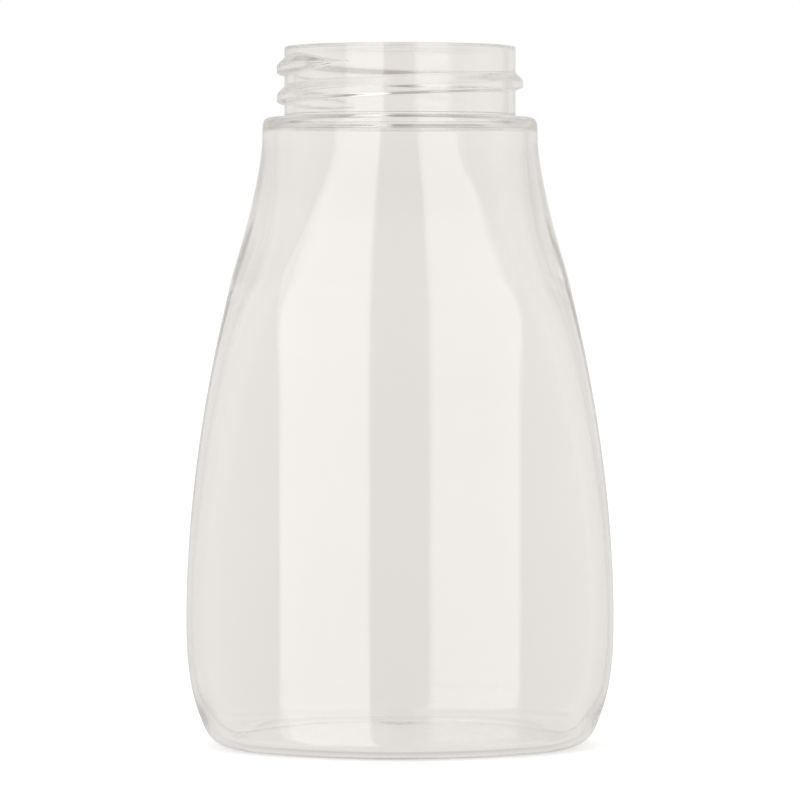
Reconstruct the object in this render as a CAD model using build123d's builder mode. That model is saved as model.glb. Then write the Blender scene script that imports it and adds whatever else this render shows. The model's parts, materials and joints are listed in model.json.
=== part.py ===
from build123d import *
import os
from math import atan2, cos, radians, sin, sqrt, tan

# A clear squeeze bottle for honey, blown in one piece: an oval body that turns round at the
# shoulder, and a wide neck. Lengths are in millimetres. The base stands on z = 0 and the neck
# points up +Z. The broad front panel faces -Y and the width runs along X.

# The body
body_width = 65.0
body_depth = 43.0
panel_end_angle = 48.5
side_end_angle = 82.0
heel_radius = 2.8

# The neck, a 38 mm finish, as plain as it is at the root of its thread
neck_height = 10.5
neck_diameter = 35.2
neck_wall = 1.5
rim_bevel = 0.3

# The shoulder, a round ledge that stands out from the neck's foot. Its rise is the height over
# which the body turns from its panels to the ledge's skirt.
ledge_width = 3.4
shoulder_height = 95.4
shoulder_skirt = 3.8
shoulder_slope = 0.3
shoulder_rise = 19.2
shoulder_edge_radius = 1.3

# The wall, thickest below the shoulder and thinnest where the body is widest
thinnest_wall = 0.6
thickest_wall = 2.8
shoulder_wall = 1.9
throat_bevel = 0.8
inner_shoulder_bevel = 0.8
floor_wall = 1.0
inner_heel_radius = 1.6

# The base: a flat land to stand on, a shallow push-up inside it and the gate mark
land_width = 2.2
push_up_height = 1.6
gate_diameter = 3.6
gate_height = 0.4

# The body below the top of its panels: share of that height, share of the half width,
# and how far the wall has grown from its thinnest to its thickest.
lower_shares = [
    (0.0, 0.868, 0.05),
    (0.167, 0.988, 0.0),
    (0.333, 0.998, 0.0),
    (0.5, 0.977, 0.09),
    (0.667, 0.932, 0.18),
    (0.833, 0.863, 0.44),
    (1.0, 0.777, 0.95),
]
# The body above its panels: share of the way up to the round skirt of the shoulder,
# share that is left of the oval, and the wall as before. The last one lies above the skirt's
# foot, so that the body meets the skirt upright.
upper_shares = [
    (0.5, 0.38, 0.91),
    (1.0, 0.0, 0.52),
    (1.5, 0.0, 0.52),
]
# The dome of the push-up: share of its height and share of its foot. It starts below the base.
dome_shares = [
    (-0.6, 1.24),
    (0.6, 0.76),
    (1.0, 0.4),
]

# Worked out from the sizes above. The panel's arc and the corner's arc meet at the panel's end,
# and at the widest section the corner's arc runs on to the side.
half_width = body_width / 2
half_depth = body_depth / 2
panel_top_width = half_width * lower_shares[-1][1]
bend = radians(panel_end_angle)
spare = sin(bend) + cos(bend) - 1
panel_radius = (half_width * cos(bend) - half_depth * (1 - sin(bend))) / spare
corner_radius = (half_depth * sin(bend) - half_width * (1 - cos(bend))) / spare
neck_radius = neck_diameter / 2
bore_radius = neck_radius - neck_wall
shoulder_radius = neck_radius + ledge_width
skirt_foot = shoulder_height - shoulder_skirt
panel_top = skirt_foot - shoulder_rise
skirt_wall = thinnest_wall + (thickest_wall - thinnest_wall) * upper_shares[-1][2]
throat_height = shoulder_height - shoulder_wall
neck_foot = shoulder_height + shoulder_slope
rim_height = shoulder_height + neck_height
skirt_inner_radius = shoulder_radius - skirt_wall


def blend(start, end, share):
    """The value that lies that share of the way from start to end."""
    return start + (end - start) * share


def arc(centre, radius, start, end):
    """An arc between two angles, which are counted from +Y towards +X."""
    angles = (start, (start + end) / 2, end)
    return ThreePointArc(*((centre[0] + radius * sin(a), centre[1] + radius * cos(a)) for a in angles))


def oval(height, width, depth, panel, corner):
    """A level section of the body, from its half width, half depth and two radii.

    A quarter of it is the panel's arc, the corner's arc and a nearly flat side, and each runs
    smoothly into the next. The arcs stay apart also where they lie on one circle, so that every
    section has the same twelve.
    """
    side_start = radians(side_end_angle)
    lean = tan((radians(90) - side_start) / 2)
    reach = width - corner
    back = panel - depth
    middle = back - lean * reach
    rest = reach**2 + back**2 - (panel - corner) ** 2
    corner_y = (sqrt(middle**2 - (1 + lean**2) * rest) - middle) / (1 + lean**2)
    corner_x = reach - lean * corner_y
    side = corner + corner_y / cos(side_start)
    panel_end = atan2(corner_x, corner_y + back) if panel > corner else bend / 2
    quarter = [
        arc((0, -back), panel, 0, panel_end),
        arc((corner_x, corner_y), corner, panel_end, side_start),
        arc((width - side, 0), side, side_start, radians(90)),
    ]
    half = quarter + [edge.mirror(Plane.YZ) for edge in quarter]
    around = half + [edge.mirror(Plane.XZ) for edge in half]
    return Face(Wire(around)).moved(Location((0, 0, height)))


def body_sections(lowest, wall_factor):
    """The body's sections up to the shoulder, for its outside with 0 or its inside with 1."""
    sections = []
    for height_share, width_share, wall_share in lower_shares:
        wall = wall_factor * blend(thinnest_wall, thickest_wall, wall_share)
        sections.append(
            oval(
                max(panel_top * height_share, lowest),
                half_width * width_share - wall,
                half_depth - wall,
                panel_radius - wall,
                corner_radius - wall,
            )
        )
    for height_share, oval_share, wall_share in upper_shares:
        wall = wall_factor * blend(thinnest_wall, thickest_wall, wall_share)
        sections.append(
            oval(
                blend(panel_top, skirt_foot, height_share),
                blend(shoulder_radius, panel_top_width, oval_share) - wall,
                blend(shoulder_radius, half_depth, oval_share) - wall,
                blend(shoulder_radius, panel_radius, oval_share) - wall,
                blend(shoulder_radius, corner_radius, oval_share) - wall,
            )
        )
    return sections


def dome_sections(lift):
    """The sections of the push-up's dome, raised by lift."""
    inset = heel_radius + land_width
    foot_width = half_width * lower_shares[0][1] - inset
    foot = (foot_width, half_depth - inset, panel_radius - inset, corner_radius - inset)
    return [
        oval(lift + push_up_height * height_share, *(size * foot_share for size in foot))
        for height_share, foot_share in dome_shares
    ]


outer_sections = body_sections(0, 0)
inner_sections = body_sections(floor_wall, 1)
recess_sections = dome_sections(0)
floor_sections = dome_sections(floor_wall)

# The space for the honey, up to the foot of the shoulder's skirt
with BuildPart() as hollow:
    loft(inner_sections)
    split(bisect_by=Plane.XY.offset(skirt_foot), keep=Keep.BOTTOM)
    fillet(hollow.faces().sort_by(Axis.Z)[0].edges(), inner_heel_radius)
    loft(floor_sections, ruled=True, mode=Mode.SUBTRACT)

# The bottle: its blown body, then the shoulder and neck as one turned ring
with BuildPart() as bottle:
    loft(outer_sections)
    split(bisect_by=Plane.XY.offset(skirt_foot), keep=Keep.BOTTOM)
    fillet(bottle.faces().sort_by(Axis.Z)[0].edges(), heel_radius)
    add(hollow.part, mode=Mode.SUBTRACT)
    loft(recess_sections, ruled=True, mode=Mode.SUBTRACT)
    with BuildSketch(Plane.XY.offset(push_up_height - gate_height)):
        Circle(gate_diameter / 2)
    extrude(amount=gate_height + floor_wall / 2)
    with BuildSketch(Plane.XZ):
        with BuildLine():
            ledge = FilletPolyline(
                (shoulder_radius, skirt_foot),
                (shoulder_radius, shoulder_height),
                (neck_radius, neck_foot),
                radius=shoulder_edge_radius,
            )
            Polyline(
                ledge @ 1,
                (neck_radius, rim_height - rim_bevel),
                (neck_radius - rim_bevel, rim_height),
                (bore_radius + rim_bevel, rim_height),
                (bore_radius, rim_height - rim_bevel),
                (bore_radius, throat_height + throat_bevel),
                (bore_radius + throat_bevel, throat_height),
                (skirt_inner_radius - inner_shoulder_bevel, throat_height),
                (skirt_inner_radius, throat_height - inner_shoulder_bevel),
                (skirt_inner_radius, skirt_foot),
                ledge @ 0,
            )
        make_face()
    revolve(axis=Axis.Z)

bottle.part.label = "bottle"
os.makedirs("parts", exist_ok=True)
export_step(bottle.part, "parts/bottle.step")
print("volume of the plastic in cubic mm:", round(bottle.part.volume))
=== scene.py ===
# %% [markdown]
# # A clear squeeze bottle for honey
#
# This lesson dresses one blown bottle. Its solid model is the frame: it holds the bottle's real
# size and place. The looks are made around it, in metres, and nothing is moved or resized. The
# sizes of a bottle are thought of in millimetres, and MM turns them to metres.

import json
from math import asin, atan2, cos, pi, radians, sin, sqrt, tan

import bmesh
import bpy
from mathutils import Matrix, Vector

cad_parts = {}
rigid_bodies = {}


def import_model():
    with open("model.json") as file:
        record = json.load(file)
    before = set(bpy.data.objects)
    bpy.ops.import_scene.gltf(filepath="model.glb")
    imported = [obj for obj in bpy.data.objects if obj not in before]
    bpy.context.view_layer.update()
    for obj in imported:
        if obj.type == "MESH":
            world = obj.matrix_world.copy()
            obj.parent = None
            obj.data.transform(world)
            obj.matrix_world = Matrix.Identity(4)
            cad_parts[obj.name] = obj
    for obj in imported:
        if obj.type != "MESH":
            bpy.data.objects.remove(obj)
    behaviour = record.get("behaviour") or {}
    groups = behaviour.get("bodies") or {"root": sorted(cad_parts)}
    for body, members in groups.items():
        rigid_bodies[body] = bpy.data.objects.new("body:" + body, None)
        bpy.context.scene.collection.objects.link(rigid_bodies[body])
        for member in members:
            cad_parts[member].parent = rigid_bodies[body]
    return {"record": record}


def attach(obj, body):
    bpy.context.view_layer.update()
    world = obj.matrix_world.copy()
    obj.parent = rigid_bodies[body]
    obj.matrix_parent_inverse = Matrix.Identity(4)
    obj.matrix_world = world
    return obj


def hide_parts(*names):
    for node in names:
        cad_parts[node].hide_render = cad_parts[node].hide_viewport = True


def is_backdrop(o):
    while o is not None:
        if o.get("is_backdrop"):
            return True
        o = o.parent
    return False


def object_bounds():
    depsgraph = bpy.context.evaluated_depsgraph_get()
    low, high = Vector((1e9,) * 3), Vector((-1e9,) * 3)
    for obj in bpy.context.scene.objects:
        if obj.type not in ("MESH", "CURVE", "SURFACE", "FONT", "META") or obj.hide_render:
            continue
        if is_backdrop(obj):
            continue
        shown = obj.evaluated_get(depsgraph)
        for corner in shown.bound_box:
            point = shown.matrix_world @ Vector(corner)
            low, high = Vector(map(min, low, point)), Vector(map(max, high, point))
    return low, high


MM = 0.001
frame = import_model()
scene = bpy.context.scene
cad_low, cad_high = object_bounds()
mounts = {mount["name"]: mount for mount in frame["record"]["mounts"]}
print("solid box in mm:", [round(v / MM, 1) for v in (*cad_low, *cad_high)])

# %% [markdown]
# Two helpers serve the whole lesson. Colours are written as a designer picks them, in sRGB, and a
# shader wants them linear, so one function turns them. Materials and the world are made of nodes,
# and the other function adds every one of them, and sets or links its inputs.

# %% Helpers


def linear(hex_text):
    """An sRGB colour such as #FBFAF7 as the linear values that a shader takes."""
    shares = [int(hex_text[i : i + 2], 16) / 255 for i in (1, 3, 5)]
    return [s / 12.92 if s <= 0.04045 else ((s + 0.055) / 1.055) ** 2.4 for s in shares] + [1.0]


def add_node(tree, kind, settings=None, inputs=None):
    """Adds a node. An input that is given a socket is linked to it, and any other is set."""
    node = tree.nodes.new(kind)
    for name, value in (settings or {}).items():
        setattr(node, name, value)
    for name, value in (inputs or {}).items():
        if isinstance(value, bpy.types.NodeSocket):
            tree.links.new(value, node.inputs[name])
        else:
            node.inputs[name].default_value = value
    return node


print("middle grey in a shader's linear values:", [round(v, 3) for v in linear("#808080")])

# %% [markdown]
# The camera comes first, because every later choice is judged through it. It stands where the
# photographer stood: far off, a little above the bottle's middle, looking slightly down. A long
# lens keeps the sides nearly parallel, and its length follows from the distance and from how many
# millimetres of the bottle one pixel of the photograph covers.

# %% Camera
PHOTO_PIXELS = 800
MM_PER_PIXEL = 0.1516
camera_distance = 630 * MM
camera_height = 80 * MM
aim_height = 52.5 * MM

camera_data = bpy.data.cameras.new("camera")
camera = bpy.data.objects.new("camera", camera_data)
scene.collection.objects.link(camera)
scene.camera = camera
camera.location = (0, -camera_distance, camera_height)
sight = Vector((0, 0, aim_height)) - camera.location
camera.rotation_euler = sight.to_track_quat("-Z", "Y").to_euler()
camera_data.lens = camera_data.sensor_width * sight.length / (PHOTO_PIXELS * MM_PER_PIXEL * MM)
camera_data.clip_start = 10 * MM
print("lens in mm:", round(camera_data.lens, 1))

# %% [markdown]
# The bottle has four levels. From the top they are the rim, the shoulder's ledge where the neck
# stands, the foot of the ledge's round skirt, and the top of the panels. They are measured down
# from the frame's own height, so that the looks stay on the solid. The neck is drawn in by a
# hair, because its outline in the photograph is the root between the turns of the thread.

# %% The sizes of the bottle
neck_height = 10.5
neck_inset = 0.15
ledge_width = 3.35
skirt_height = 3.8
shoulder_rise = 19.2

half_width = cad_high.x / MM
half_depth = cad_high.y / MM
rim_height = cad_high.z / MM
neck_radius = mounts["neck_outside"]["dims"]["r_mm"] - neck_inset
bore_radius = mounts["mouth"]["dims"]["r_mm"]
shoulder_height = rim_height - neck_height
skirt_radius = neck_radius + ledge_width
skirt_foot = shoulder_height - skirt_height
panel_top = skirt_foot - shoulder_rise
levels = (rim_height, shoulder_height, skirt_foot, panel_top)
print("levels in mm:", [round(level, 2) for level in levels])

# %% [markdown]
# Seen from the front, the body is an oval bell. It is widest low down, draws in a little to the
# base, and narrows upwards almost as a parabola. Above the panels it runs in to the skirt. The
# outline could be a drawn curve. Here a power of the height gives each stretch its bend, which is
# simpler to tune against a photograph: the higher the power, the later the stretch bends in.

# %% The body's outline
widest_height = 19.3
panel_top_share = 0.771
base_draw_in = 0.138
shoulder_power = 1.43
upper_power = 1.88
lower_power = 2.78


def oval_left(height):
    """How much of the oval is left above the panels: 1 at their top and 0 at the skirt."""
    return min(1, max(0, (skirt_foot - height) / (skirt_foot - panel_top)))


def width_at(height):
    """Half the width of the body's outline at a height."""
    if height > panel_top:
        spare = half_width * panel_top_share - skirt_radius
        return skirt_radius + spare * oval_left(height) ** shoulder_power
    if height > widest_height:
        share = (height - widest_height) / (panel_top - widest_height)
        return half_width * (1 - (1 - panel_top_share) * share**upper_power)
    share = (widest_height - height) / widest_height
    return half_width * (1 - base_draw_in * share**lower_power)


print("half widths in mm:", [round(width_at(height), 2) for height in (0, 19, 45, 72, 85)])

# %% [markdown]
# A level section of the body is four arcs in each quarter: a rounder crown in the middle of the
# panel, the flatter rest of the panel, the corner, and a side that is almost flat. An ellipse
# would be simpler, but its light would lie in other places than on the real panels. Each point of
# a section is found by the direction that the wall faces there, so that neighbouring sections
# line up and the light runs along them in clean bands. A subdivision surface draws a ring in
# towards its middle, and SWELL makes up for exactly that.

# %% A level section
COLUMNS = 48
QUARTER = COLUMNS // 4
STEP = 2 * pi / COLUMNS
SWELL = 3 / (2 + cos(STEP))
CROWN_END = radians(8.7)
SIDE_START = radians(82)


def section(width, depth, crown, panel, corner, wall=0.0):
    """The points of one oval ring, counted from the middle of the front towards +X."""
    panel_x = (crown - panel) * sin(CROWN_END)
    panel_y = depth - crown + (crown - panel) * cos(CROWN_END)
    lean = tan((pi / 2 - SIDE_START) / 2)
    reach = width - corner
    across = reach - panel_x
    middle = lean * across + panel_y
    rest = across**2 + panel_y**2 - (panel - corner) ** 2
    corner_y = (middle + sqrt(max(0, middle**2 - (1 + lean**2) * rest))) / (1 + lean**2)
    corner_x = reach - lean * corner_y
    side = corner + corner_y / cos(SIDE_START)
    panel_end = atan2(corner_x - panel_x, corner_y - panel_y)
    points = []
    for column in range(QUARTER + 1):
        facing = column * STEP
        if facing <= CROWN_END:
            centre, radius = (0, depth - crown), crown
        elif facing <= panel_end:
            centre, radius = (panel_x, panel_y), panel
        elif facing <= SIDE_START:
            centre, radius = (corner_x, corner_y), corner
        else:
            centre, radius = (width - side, 0), side
        radius = radius * SWELL - wall
        points.append((centre[0] + radius * sin(facing), centre[1] + radius * cos(facing)))
    return points


def round_section(radius):
    """The points of one round ring."""
    swollen = radius * SWELL
    return [(swollen * sin(c * STEP), swollen * cos(c * STEP)) for c in range(QUARTER + 1)]


print("points in a quarter of a ring:", len(round_section(neck_radius)))

# %% [markdown]
# The body's section changes with the height. Above the panels its radii run over to the skirt's,
# and at the heel it draws in along a quarter of a circle, more at the narrow sides. There the
# outline already leans in, so the heel's arc starts at that slope and leaves no edge.

# %% The body's section at a height
crown_radius = 31.4
panel_radius = 43.4
corner_radius = 12.8
panel_power = 1.6
heel_radius = 3.9
heel_side_share = 1.35
heel_slope = radians(21)


def body_section(height, wall=0.0):
    """The body's ring at a height, drawn in by the wall for its inside."""
    left = oval_left(height)
    if left <= 0:
        return round_section(skirt_radius - wall)
    width = width_at(height)
    depth = skirt_radius + (half_depth - skirt_radius) * left
    draw_in = 0.0
    if height < heel_radius:
        turn = asin(1 - height / heel_radius)
        if turn > heel_slope:
            arc_start = width_at(heel_radius * (1 - sin(heel_slope)))
            side_draw_in = heel_side_share * heel_radius * (cos(heel_slope) - cos(turn))
            width = arc_start - side_draw_in
        draw_in = heel_radius * (1 - cos(turn))
        depth = half_depth - draw_in
    crown = skirt_radius + (crown_radius - skirt_radius) * left - draw_in
    panel = skirt_radius + (panel_radius - skirt_radius) * left**panel_power - draw_in
    corner = skirt_radius + (corner_radius - skirt_radius) * left - draw_in
    return section(width, depth, crown, panel, corner, wall)


middle_ring = body_section(30)
print("half width and depth at 30 mm:", round(middle_ring[-1][0], 2), round(middle_ring[0][1], 2))

# %% [markdown]
# The plastic is thick below the shoulder, where the preform was stretched least, and thin where
# the body is widest. A Solidify modifier would give one thickness all over, so the inside is
# modelled as a surface of its own. The refracted inner line in the photograph gives the wall at
# each height. Each row holds a share of the shoulder's height and the wall there in millimetres.

# %% The wall
wall_shares = [
    (0.0, 1.0),
    (0.04, 0.95),
    (0.08, 0.6),
    (0.28, 0.62),
    (0.48, 0.85),
    (0.6, 0.95),
    (0.7, 1.3),
    (0.78, 2.3),
    (0.82, 2.7),
    (0.86, 2.5),
    (0.92, 1.98),
    (0.96, 1.74),
    (1.0, 1.74),
]


def eased(share):
    """A smooth step from 0 to 1."""
    share = min(1.0, max(0.0, share))
    return share * share * (3 - 2 * share)


def wall_at(height):
    """The wall's thickness at a height, eased between the values above."""
    share = height / shoulder_height
    for (low, below), (high, above) in zip(wall_shares, wall_shares[1:]):
        if share <= high:
            return below + (above - below) * eased((share - low) / (high - low))
    return wall_shares[-1][1]


print("wall in mm at 20, 50 and 78 mm:", [round(wall_at(height), 2) for height in (20, 50, 78)])

# %% [markdown]
# Under the base is a shallow dome, the push-up, so that the bottle stands on a narrow land round
# its edge and not on its middle. The same dome, lifted by the floor's thickness, is the floor
# inside. Near its middle its rings are round, and outwards they turn to the body's oval. The
# radii of a ring's arcs are never less than a share of its depth, so that the arcs still meet.

# %% The push-up's dome
floor_wall = 1.0
push_up_height = 1.6
land_width = 1.6
round_share = 0.15
corner_share = 0.62
least_crown = 1.35
least_panel = 1.8
panel_over_crown = 1.3


def dome(share, lift):
    """A ring of the dome and its height, at a share of the dome's foot and raised by lift."""
    inset = heel_radius + land_width
    width = (width_at(0) - inset) * share
    depth = (half_depth - inset) * share
    height = lift + push_up_height * (1 - share**2)
    if share <= round_share:
        return round_section(depth), height
    turned = (share - round_share) / (1 - round_share)
    full_crown = width + (crown_radius - inset - width) * turned
    crown = max(full_crown, depth * least_crown)
    panel = max(full_crown * panel_over_crown, depth * least_panel)
    return section(width, depth, crown, panel, depth * corner_share), height


dome_foot = dome(1, 0)[0]
print("dome's foot, half its size in mm:", round(dome_foot[-1][0], 1), round(dome_foot[0][1], 1))

# %% [markdown]
# The cage is one chain of rings, so that the bottle becomes one closed shell with an inside and an
# outside. The chain starts in the middle of the floor inside, runs out over the floor, round the
# inner heel and up the inner wall. Where the surface bends sharply the rings lie close together,
# and elsewhere they are far apart, because a subdivision surface is smoothest over few points.

# %% The rings of the inside
BODY_HEIGHTS = [
    4.7, 6.6, 9.0, 12.5, 17, 22, 28, 34.5, 41, 47.5, 54,
    60, 65.5, 69.4, 72.0, 73.6, 76.4, 79.4, 82.4, 85.4, 88.2, 90.4,
]
FLOOR_SHARES = (0.1, 0.25, 0.45, 0.65, 0.85, 1.0)
INNER_HEEL_TURNS = (90, 72, 54, 36, 20)

rings = [dome(share, floor_wall) for share in FLOOR_SHARES]
for turn in INNER_HEEL_TURNS:
    turn = radians(turn)
    outside = heel_radius * (1 - sin(turn))
    rings.append((body_section(outside, floor_wall * cos(turn)), outside + floor_wall * sin(turn)))
for height in BODY_HEIGHTS:
    rings.append((body_section(height, wall_at(height)), height))
print("rings inside the body:", len(rings))

# %% [markdown]
# From here the bottle is round, and a ring is a radius and a height. The chain goes in under the
# ledge, up through the bore, over the rim and down the neck. The neck gets many rings close
# together, because the thread is raised from them.

# %% The rings of the neck
skirt_inner = skirt_radius - wall_at(skirt_foot)
thread_top = rim_height - 0.9
thread_bottom = shoulder_height + 1.7
neck_rings = 24

for radius, height in (
    # The skirt's inside, and the underside of the ledge
    (skirt_inner, skirt_foot),
    (skirt_inner, shoulder_height - 2.9),
    (skirt_inner, shoulder_height - 2.25),
    (skirt_inner - 0.06, shoulder_height - 2.0),
    (skirt_inner - 0.35, shoulder_height - 1.9),
    (bore_radius + 0.5, shoulder_height - 1.82),
    (bore_radius + 0.1, shoulder_height - 1.74),
    # The bore
    (bore_radius, shoulder_height - 1.5),
    (bore_radius, shoulder_height - 0.9),
    (bore_radius, shoulder_height + 3),
    (bore_radius, shoulder_height + 6),
    (bore_radius, rim_height - 1.0),
    (bore_radius, rim_height - 0.3),
    # The rim, with a soft inner edge and a crisp outer one
    (bore_radius + 0.3, rim_height),
    (neck_radius - 0.5, rim_height),
    (neck_radius - 0.12, rim_height),
    (neck_radius, rim_height - 0.15),
    (neck_radius, thread_top),
):
    rings.append((round_section(radius), height))
for number in range(1, neck_rings + 1):
    height = thread_top - (thread_top - thread_bottom) * number / neck_rings
    rings.append((round_section(neck_radius), height))
print("rings up to the neck's foot:", len(rings))

# %% [markdown]
# The neck stands on the ledge in a sharp corner, and the ledge's outer edge is rounded. Below its
# skirt the chain follows the body down, round the heel, over the land and up into the push-up. In
# the middle of the push-up stands the gate mark, a low round button that is left where the
# preform was filled.

# %% The rings of the outside
gate_radius = 1.8
gate_height = 0.4
HEEL_HEIGHTS = (3.2, 2.4, 1.6, 0.9, 0.4, 0.1, 0.0)
PUSH_UP_SHARES = (1.0, 0.97, 0.88, 0.7, 0.5, 0.3)

for radius, height in (
    # The neck's foot
    (neck_radius, shoulder_height + 0.6),
    (neck_radius + 0.01, shoulder_height + 0.18),
    (neck_radius + 0.08, shoulder_height + 0.02),
    (neck_radius + 0.35, shoulder_height - 0.03),
    # The ledge, its rounded edge and its skirt
    (skirt_radius - 1.5, shoulder_height - 0.08),
    (skirt_radius - 0.8, shoulder_height - 0.2),
    (skirt_radius - 0.26, shoulder_height - 0.52),
    (skirt_radius - 0.06, shoulder_height - 1.1),
    (skirt_radius, shoulder_height - 2.2),
    (skirt_radius, skirt_foot),
):
    rings.append((round_section(radius), height))
for height in (*reversed(BODY_HEIGHTS), *HEEL_HEIGHTS):
    rings.append((body_section(height), height))
rings.extend(dome(share, 0) for share in PUSH_UP_SHARES)
for radius, height in (
    (gate_radius + 0.3, push_up_height),
    (gate_radius - 0.1, push_up_height - 0.1),
    (gate_radius - 0.4, push_up_height - gate_height),
    (gate_radius / 3, push_up_height - gate_height),
):
    rings.append((round_section(radius), height))
print("rings in all:", len(rings))

# %% [markdown]
# Each ring is extruded from the one before and then scaled to its own shape. A round ring takes
# one scaling. An oval ring is scaled in small sets: the four points that mirror each other across
# the width and the depth share their factors, so one scaling from the centre moves all four.

# %% Shape a ring
# The point in the middle of the front may lie a hair to its left, and still counts as the first.
FRONT_NUDGE = 0.01
# Factors that differ by less than this are one factor.
ALIKE = 1e-6


def newest_ring(mesh):
    """The points of the newest ring in order, from the middle of the front towards +X."""
    edit = bmesh.from_edit_mesh(mesh)
    edit.verts.ensure_lookup_table()
    newest = edit.verts[-COLUMNS:]
    return sorted(newest, key=lambda v: (atan2(v.co.x, -v.co.y) + FRONT_NUDGE) % (2 * pi))


def shape_ring(mesh, points, height, old_points):
    """Scales the newest ring from its old shape to its new one."""
    columns = newest_ring(mesh)
    factors = [
        (new[0] / old[0] if old[0] > ALIKE else 1.0, new[1] / old[1] if old[1] > ALIKE else 1.0)
        for new, old in zip(points, old_points)
    ]
    common = factors[QUARTER // 2][0]
    if max(abs(factor - common) for pair in factors[1:-1] for factor in pair) < ALIKE:
        bpy.ops.transform.resize(value=(common, common, 1), center_override=(0, 0, height))
        return
    for column, (x_factor, y_factor) in enumerate(factors):
        bpy.ops.mesh.select_all(action="DESELECT")
        for mirrored in (column, 2 * QUARTER - column, 2 * QUARTER + column, -column):
            columns[mirrored % COLUMNS].select_set(True)
        bpy.ops.transform.resize(value=(x_factor, y_factor, 1), center_override=(0, 0, height))
    bpy.ops.mesh.select_all(action="DESELECT")
    for vertex in columns:
        vertex.select_set(True)
    bmesh.from_edit_mesh(mesh).select_flush(True)


print("sets in an oval ring:", QUARTER + 1)

# %% [markdown]
# The first ring is the rim of a small disc, whose fan of triangles closes the floor's middle. The
# last ring is merged to a point, which closes the gate mark. At the end the normals are made to
# point outwards, because glass and clear plastic need to know their inside from their outside.

# %% Extrude the chain
start_points, start_height = rings[0]
start_radius = start_points[0][1] * MM

bpy.ops.object.select_all(action="DESELECT")
bpy.ops.mesh.primitive_circle_add(
    vertices=COLUMNS, radius=start_radius, fill_type="TRIFAN", location=(0, 0, 0)
)
bottle = bpy.context.object
bottle.name = "clear_bottle"
bottle.data.name = "clear_bottle"
mesh = bottle.data
bpy.ops.object.mode_set(mode="EDIT")
bpy.ops.mesh.select_mode(type="VERT")
bpy.ops.transform.translate(value=(0, 0, start_height * MM))
bpy.ops.mesh.select_all(action="DESELECT")
edit = bmesh.from_edit_mesh(mesh)
for vertex in edit.verts:
    vertex.select_set(Vector(vertex.co[:2]).length > start_radius / 2)
edit.select_flush(True)
last_points, last_height = start_points, start_height
for points, height in rings[1:]:
    rise = (height - last_height) * MM
    bpy.ops.mesh.extrude_region_move(TRANSFORM_OT_translate={"value": (0, 0, rise)})
    shape_ring(mesh, points, height * MM, last_points)
    last_points, last_height = points, height
bpy.ops.mesh.merge(type="CENTER")
bpy.ops.mesh.select_all(action="SELECT")
bpy.ops.mesh.normals_make_consistent(inside=False)
bpy.ops.object.mode_set(mode="OBJECT")
print("cage faces:", len(mesh.polygons))

# %% [markdown]
# Two subdivisions turn the cage into a smooth wall. A finer cage would do it too, but each ring
# more is one more to keep in line. They are applied before the thread is raised, so that its
# narrow flanks have enough points.

# %% Smooth the cage
smooth = bottle.modifiers.new("smooth", "SUBSURF")
smooth.levels = 2
smooth.render_levels = 2
bpy.ops.object.modifier_apply(modifier=smooth.name)
bpy.ops.object.shade_smooth()
print("triangles:", sum(len(p.vertices) - 2 for p in mesh.polygons))

# %% [markdown]
# The thread is one right-handed start of about 1.4 turns. Its upper flank is long and its lower
# flank steep, so that the cap pulls down on it. At both ends it tapers in width and height to a
# point, as the cut in the mould runs out. All of it is said by one weight: how far a point of the
# neck stands out, worked out from how far it lies above the helix.

# %% The thread's shape
thread_height = 1.15
thread_pitch = 4.35
thread_middle = shoulder_height + 4.83
thread_from = -256
thread_to = 246
thread_start_fade = 36
thread_end_fade = 40
crest_width = 0.9
upper_flank = 1.55
lower_flank = 0.55
narrowest = 0.05


def thread_weight(place):
    """How far the thread stands out at a point of the neck, from 0 to 1."""
    angle = atan2(place.y, place.x) * 180 / pi
    best = 0.0
    for along in (angle - 360, angle, angle + 360):
        if not thread_from <= along <= thread_to:
            continue
        start = (along - thread_from) / thread_start_fade
        end = (thread_to - along) / thread_end_fade
        grown = eased(min(start, end))
        width = max(narrowest, grown)
        above = place.z / MM - thread_middle - thread_pitch * along / 360
        side = max(0.0, abs(above) - width * crest_width / 2)
        flank = width * (upper_flank if above > 0 else lower_flank)
        best = max(best, eased(1 - side / flank) * grown)
    return best


print("turns of the thread:", round((thread_to - thread_from) / 360, 2))

# %% [markdown]
# The thread could be a profile swept along the helix, but that would have to be joined to the
# neck. A Displace modifier raises it from the wall itself, without a joint. It reads the weights
# from a vertex group, as if they were painted by hand, and only the neck's outer side has any,
# so that the bore stays smooth.

# %% Raise the thread
wall_skin = 0.1
lowest_raised = thread_bottom - 0.2
highest_raised = rim_height - 0.5

group = bottle.vertex_groups.new(name="thread")
raised = 0
for vertex in mesh.vertices:
    out = Vector(vertex.co[:2]).length / MM
    if out > neck_radius - wall_skin and lowest_raised < vertex.co.z / MM < highest_raised:
        weight = thread_weight(vertex.co)
        if weight > 0:
            group.add([vertex.index], weight, "REPLACE")
            raised += 1
raise_thread = bottle.modifiers.new("thread", "DISPLACE")
raise_thread.vertex_group = "thread"
raise_thread.mid_level = 0
raise_thread.strength = thread_height * MM
bpy.ops.object.modifier_apply(modifier=raise_thread.name)
print("points raised for the thread:", raised)

# %% [markdown]
# Blown clear PET is a polyester as clear as glass. The preform is moulded, warmed and blown out
# against a polished mould, so both sides of the wall are glossy. The eye gets crisp mirror
# images of the studio, walls that bend what is behind them, and a warm grey where they are thick.
# A principled shader with full transmission and the plastic's own index of refraction gives all
# of that, because the shell has a real inside. The grey is an absorption in the volume, which
# grows with the thickness. A darker surface colour would tint thin and thick walls alike.

# %% Blown clear PET
refraction_index = 1.57
absorption_density = 6.0

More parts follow.
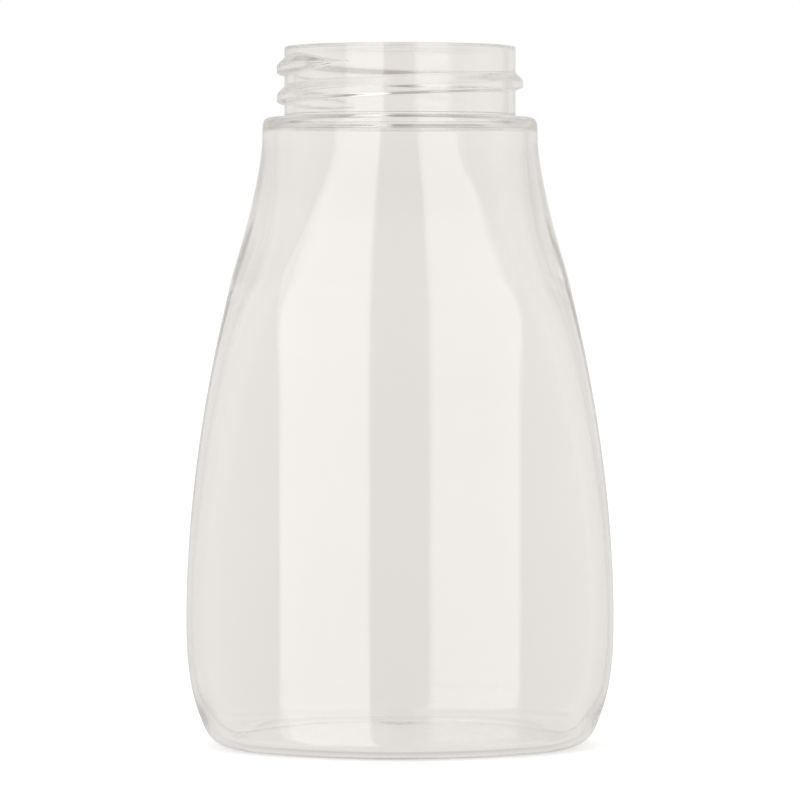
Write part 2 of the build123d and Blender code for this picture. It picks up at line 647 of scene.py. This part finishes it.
plastic = bpy.data.materials.new("blown_clear_pet")
plastic.use_nodes = True
tree = plastic.node_tree
shader = tree.nodes["Principled BSDF"]
shader.inputs["Base Color"].default_value = linear("#FFFEFD")
shader.inputs["Transmission Weight"].default_value = 1.0
shader.inputs["IOR"].default_value = refraction_index
absorption = add_node(
    tree,
    "ShaderNodeVolumeAbsorption",
    None,
    {"Color": linear("#F0EDE7"), "Density": absorption_density},
)
tree.links.new(absorption.outputs[0], tree.nodes["Material Output"].inputs["Volume"])
print("index of refraction:", round(shader.inputs["IOR"].default_value, 2))

# %% [markdown]
# A blown wall cools unevenly and keeps a faint waviness, about a fingertip wide and drawn out
# along the height, in the direction of the stretch. Where the two halves of the mould met, a
# hair-thin line runs up both narrow sides. Both are too shallow to model, so a bump tilts the
# light instead. The real line is about a twentieth of a millimetre wide and would vanish in the
# render, so it is drawn 0.4 mm wide, as coarse as it needs to show.

# %% Waviness and the parting line
wave_width = 9 * MM
wave_stretch = 0.4
wave_depth = 0.03 * MM
line_half_width = 0.2 * MM
line_over_waves = 1.5

place = add_node(tree, "ShaderNodeTexCoord").outputs["Object"]
stretched = add_node(
    tree, "ShaderNodeMapping", None, {"Vector": place, "Scale": (1.0, 1.0, wave_stretch)}
)
waves = add_node(
    tree,
    "ShaderNodeTexNoise",
    None,
    {"Vector": stretched.outputs[0], "Scale": 1 / wave_width, "Detail": 1.5, "Roughness": 0.45},
)
apart = add_node(tree, "ShaderNodeSeparateXYZ", None, {"Vector": place})
beside = add_node(tree, "ShaderNodeMath", {"operation": "ABSOLUTE"}, {0: apart.outputs["Y"]})
line = add_node(
    tree,
    "ShaderNodeMapRange",
    {"interpolation_type": "SMOOTHSTEP"},
    {"Value": beside.outputs[0], "From Max": line_half_width, "To Min": 1.0, "To Max": 0.0},
)
relief = add_node(
    tree,
    "ShaderNodeMath",
    {"operation": "MULTIPLY_ADD"},
    {0: line.outputs[0], 1: line_over_waves, 2: waves.outputs["Fac"]},
)
bump = add_node(
    tree,
    "ShaderNodeBump",
    None,
    {"Strength": 1.0, "Distance": wave_depth, "Height": relief.outputs[0]},
)
tree.links.new(bump.outputs[0], shader.inputs["Normal"])
print("waves in mm:", round(wave_width / MM, 1), "wide,", round(wave_depth / MM, 2), "deep")

# %% [markdown]
# A bottle that has been packed and handled is glossy, but not evenly so. Soft patches about as
# large as a thumb print are a little duller, which a noise on the roughness gives.

# %% Gloss
patch_width = 14 * MM
patch_start = 0.35
patch_end = 0.7
glossiest = 0.03
dullest = 0.09

patches = add_node(
    tree, "ShaderNodeTexNoise", None, {"Vector": place, "Scale": 1 / patch_width, "Detail": 3.0}
)
gloss = add_node(
    tree,
    "ShaderNodeMapRange",
    None,
    {
        "Value": patches.outputs["Fac"],
        "From Min": patch_start,
        "From Max": patch_end,
        "To Min": glossiest,
        "To Max": dullest,
    },
)
tree.links.new(gloss.outputs[0], shader.inputs["Roughness"])
print("nodes in the plastic:", len(tree.nodes))

# %% [markdown]
# The shell takes the plastic, and three lines tie it to the frame. It stands in for the solid
# bottle, which is hidden but still serves the simulation, and it moves with the bottle's only
# body.

# %% Dress the bottle
bottle.data.materials.append(plastic)
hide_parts("bottle")
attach(bottle, "root")
print("material:", bottle.data.materials[0].name)

# %% [markdown]
# Clear plastic shows the room more than itself. Two tall soft lamps stand in front, one on each
# side, and their mirror images are the two bright upright bands on the body. They could be
# glowing sheets, but area lamps give a cleaner picture in the same time. Each lamp is given by
# the directions between which it is seen from the bottle, because those are what the edges of
# the bands tell. The left lamp is brighter, as its band is.

# %% Lamps
lamp_distance = 1.2

for name, sign, radiance, band_start, band_end, lowest, highest in (
    ("lamp_left", -1, 1.08, radians(16.6), radians(55.4), radians(-56), radians(50)),
    ("lamp_right", 1, 0.35, radians(17.8), radians(54.6), radians(-28), radians(50)),
):
    middle = sign * (band_start + band_end) / 2
    lamp = bpy.data.lights.new(name, "AREA")
    lamp.shape = "RECTANGLE"
    lamp.size = 2 * lamp_distance * tan((band_end - band_start) / 2)
    lamp.size_y = lamp_distance * (tan(highest) - tan(lowest))
    lamp.energy = radiance * pi * lamp.size * lamp.size_y
    holder = bpy.data.objects.new(name, lamp)
    scene.collection.objects.link(holder)
    holder.location = (
        lamp_distance * sin(middle),
        -lamp_distance * cos(middle),
        aim_height + lamp_distance * (tan(highest) + tan(lowest)) / 2,
    )
    holder.rotation_euler = (pi / 2, 0, middle)
    holder.visible_camera = False
    print(name, "in m:", round(lamp.size, 2), "by", round(lamp.size_y, 2))

# %% [markdown]
# The rest of the studio is the world: pale walls all round, a ceiling that is dark but for two
# light strips, and darkness on the camera's side. Clear plastic draws its own outline with the
# dark parts, so a world of one even white would leave it invisible. The world could be an image.
# Here it is built from the ray's direction instead: across to the right, along to the back, and
# up. The Light Path node tells whether the ray has met the plastic's surface as a mirror, and
# whether it has been inside, because the first mirror shows the dark side of the studio more
# than the inner ones do.

# %% How a ray leaves the bottle
HALF_A_BOUNCE = 0.5

world = bpy.data.worlds.new("studio")
scene.world = world
world.use_nodes = True
tree = world.node_tree
tree.nodes.clear()
path = add_node(tree, "ShaderNodeLightPath")
seen_straight = path.outputs["Is Camera Ray"]
reflected, entered = (
    add_node(
        tree,
        "ShaderNodeMath",
        {"operation": "GREATER_THAN"},
        {0: path.outputs[bounces], 1: HALF_A_BOUNCE},
    ).outputs[0]
    for bounces in ("Glossy Depth", "Transmission Depth")
)
direction = add_node(tree, "ShaderNodeTexCoord")
parts = add_node(tree, "ShaderNodeSeparateXYZ", None, {"Vector": direction.outputs["Generated"]})
across, along, up = (parts.outputs[axis] for axis in "XYZ")
aside = add_node(tree, "ShaderNodeMath", {"operation": "ABSOLUTE"}, {0: across}).outputs[0]
print("world nodes so far:", len(tree.nodes))

# %% [markdown]
# Each part of the studio begins and ends over a soft edge. Such an edge is a ramp: while one part
# of the direction goes from low to high, the light goes from one level to another. One loop adds
# them all. The walls come first, then the strips, then where the dark of the ceiling starts and
# ends, then the horizon and the ground, and last what the first mirror and the inner ones show.

# %% The soft edges of the studio
studio = {}
for name, source, low, high, at_low, at_high, easing in (
    ("left_wall", across, -0.7, -0.5, 0.83, 0.865, "SMOOTHSTEP"),
    ("right_wall", across, 0.48, 0.7, 1.0, 0.86, "SMOOTHSTEP"),
    ("left_strip_start", across, -0.3, -0.25, 0.0, 1.3, "LINEAR"),
    ("left_strip_end", across, -0.1, -0.06, 1.0, 0.0, "LINEAR"),
    ("right_strip_start", across, 0.08, 0.14, 0.0, 0.8, "LINEAR"),
    ("right_strip_end", across, 0.3, 0.34, 1.0, 0.73, "LINEAR"),
    ("dark_from", across, -0.34, -0.28, 0.4, 0.5, "LINEAR"),
    ("dark_to", across, -0.34, -0.28, 0.62, 0.72, "LINEAR"),
    ("horizon", up, -0.12, 0.02, 0.975, 1.015, "LINEAR"),
    ("ground", up, -0.95, -0.5, 0.75, 1.0, "LINEAR"),
    ("first_to_back", along, -0.8, 0.0, 0.06, 0.86, "LINEAR"),
    ("first_to_top", up, 0.05, 0.4, 0.06, 0.5, "SMOOTHSTEP"),
    ("inner_to_back", along, -1.0, 0.2, 0.47, 0.94, "LINEAR"),
    ("low", up, -0.36, -0.18, 1.0, 0.0, "LINEAR"),
    ("off_centre", aside, 0.1, 0.16, 0.0, 1.0, "LINEAR"),
):
    edge = add_node(
        tree,
        "ShaderNodeMapRange",
        {"interpolation_type": easing},
        {"Value": source, "From Min": low, "From Max": high, "To Min": at_low, "To Max": at_high},
    )
    studio[name] = edge.outputs[0]
overhead = add_node(
    tree,
    "ShaderNodeMapRange",
    {"interpolation_type": "SMOOTHSTEP"},
    {"Value": up, "From Min": studio["dark_from"], "From Max": studio["dark_to"]},
).outputs[0]
print("soft edges:", len(studio) + 1)

# %% [markdown]
# Two edges make a strip by their product, and where two parts overlap the lighter one is seen.
# A mix then chooses: the open studio or its ceiling, and, low down and away from the middle, an
# even light in place of what the inner mirrors show.

# %% Put the studio together
ceiling_dark = 0.5
low_light = 0.93

studio["dark"] = ceiling_dark
for name, operation, first, second in (
    ("walls", "MULTIPLY", "left_wall", "right_wall"),
    ("left_strip", "MULTIPLY", "left_strip_start", "left_strip_end"),
    ("right_strip", "MULTIPLY", "right_strip_start", "right_strip_end"),
    ("strips", "MAXIMUM", "left_strip", "right_strip"),
    ("ceiling", "MAXIMUM", "strips", "dark"),
    ("by_height", "MULTIPLY", "horizon", "ground"),
    ("first_mirror", "MAXIMUM", "first_to_back", "first_to_top"),
    ("low_sides", "MULTIPLY", "low", "off_centre"),
):
    joined = add_node(
        tree, "ShaderNodeMath", {"operation": operation}, {0: studio[first], 1: studio[second]}
    )
    studio[name] = joined.outputs[0]
for name, share, first, second in (
    ("under_ceiling", overhead, 1.0, studio["ceiling"]),
    ("inner_mirror", studio["low_sides"], studio["inner_to_back"], low_light),
):
    chosen = add_node(
        tree, "ShaderNodeMix", {"data_type": "FLOAT"}, {"Factor": share, "A": first, "B": second}
    )
    studio[name] = chosen.outputs[0]
print("parts of the studio:", len(studio))

# %% [markdown]
# The light from a direction is the product of all its shares. A ray that has met no mirror takes
# it whole, and one that has takes the share of the first mirror or of an inner one. What the
# camera sees past the bottle is plain white, at a strength of 1, so that the background needs no
# more light on the bottle.

# %% The strength of the light
which_mirror = add_node(
    tree,
    "ShaderNodeMix",
    {"data_type": "FLOAT"},
    {"Factor": entered, "A": studio["first_mirror"], "B": studio["inner_mirror"]},
)
mirror = add_node(
    tree,
    "ShaderNodeMix",
    {"data_type": "FLOAT"},
    {"Factor": reflected, "A": 1.0, "B": which_mirror.outputs[0]},
)
room = studio["walls"]
for share in (studio["by_height"], studio["under_ceiling"], mirror.outputs[0]):
    product = add_node(tree, "ShaderNodeMath", {"operation": "MULTIPLY"}, {0: room, 1: share})
    room = product.outputs[0]
strength = add_node(
    tree, "ShaderNodeMix", {"data_type": "FLOAT"}, {"Factor": seen_straight, "A": room, "B": 1.0}
)
print("world nodes so far:", len(tree.nodes))

# %% [markdown]
# The studio's light is faintly warm, as in the photograph. A ray can run round inside the wall
# many times before it leaves. With the usual dozen bounces the heel and the thread would turn
# black, so far more are allowed.

# %% Light the world
BOUNCES = 500
# A mix node has a pair of sockets for each kind of data. These are the ones for colours.
FIRST_COLOUR, SECOND_COLOUR, MIXED_COLOUR = 6, 7, 2

tint = add_node(
    tree,
    "ShaderNodeMix",
    {"data_type": "RGBA"},
    {
        "Factor": seen_straight,
        FIRST_COLOUR: linear("#FFFDFA"),
        SECOND_COLOUR: linear("#FFFFFF"),
    },
)
light = add_node(
    tree,
    "ShaderNodeBackground",
    None,
    {"Color": tint.outputs[MIXED_COLOUR], "Strength": strength.outputs[0]},
)
add_node(tree, "ShaderNodeOutputWorld", None, {"Surface": light.outputs[0]})
scene.view_settings.view_transform = "Standard"
scene.cycles.max_bounces = BOUNCES
scene.cycles.glossy_bounces = BOUNCES
scene.cycles.transmission_bounces = BOUNCES
print("world nodes:", len(tree.nodes))

# %% [markdown]
# The bottle stands on matt white background paper, which runs so far back that no edge of it
# shows. A curved backdrop would look the same from here. Under the lamps the paper alone would be
# pale grey, so it glows a little, but for the camera only: the bottle gets no light from that,
# and its soft shadow stays. The plastic doesn't show the paper, because the world already stands
# for what lies below.

# %% Floor
floor_size = 8
paper_glow = 0.6

bpy.ops.object.select_all(action="DESELECT")
bpy.ops.mesh.primitive_plane_add(size=floor_size, location=(0, 0, 0))
floor = bpy.context.object
floor.name = "floor"
floor.visible_glossy = False
floor.visible_transmission = False
paper = bpy.data.materials.new("white_paper_sweep")
paper.use_nodes = True
tree = paper.node_tree
tree.nodes.clear()
matt = add_node(tree, "ShaderNodeBsdfDiffuse", None, {"Color": linear("#E8E8E8")})
path = add_node(tree, "ShaderNodeLightPath")
seen = add_node(
    tree,
    "ShaderNodeMath",
    {"operation": "MULTIPLY"},
    {0: path.outputs["Is Camera Ray"], 1: paper_glow},
)
glow = add_node(
    tree, "ShaderNodeEmission", None, {"Color": linear("#FFFFFF"), "Strength": seen.outputs[0]}
)
both = add_node(tree, "ShaderNodeAddShader", None, {0: matt.outputs[0], 1: glow.outputs[0]})
add_node(tree, "ShaderNodeOutputMaterial", None, {"Surface": both.outputs[0]})
floor.data.materials.append(paper)
floor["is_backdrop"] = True
print("floor in m:", floor_size)

# %% [markdown]
# At the end the box of the looks is printed beside the box of the solid, to see that the bottle
# has kept its size.

# %% Finish
low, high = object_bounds()
print("visual box in mm:", [round(v / MM, 2) for v in (*low, *high)])
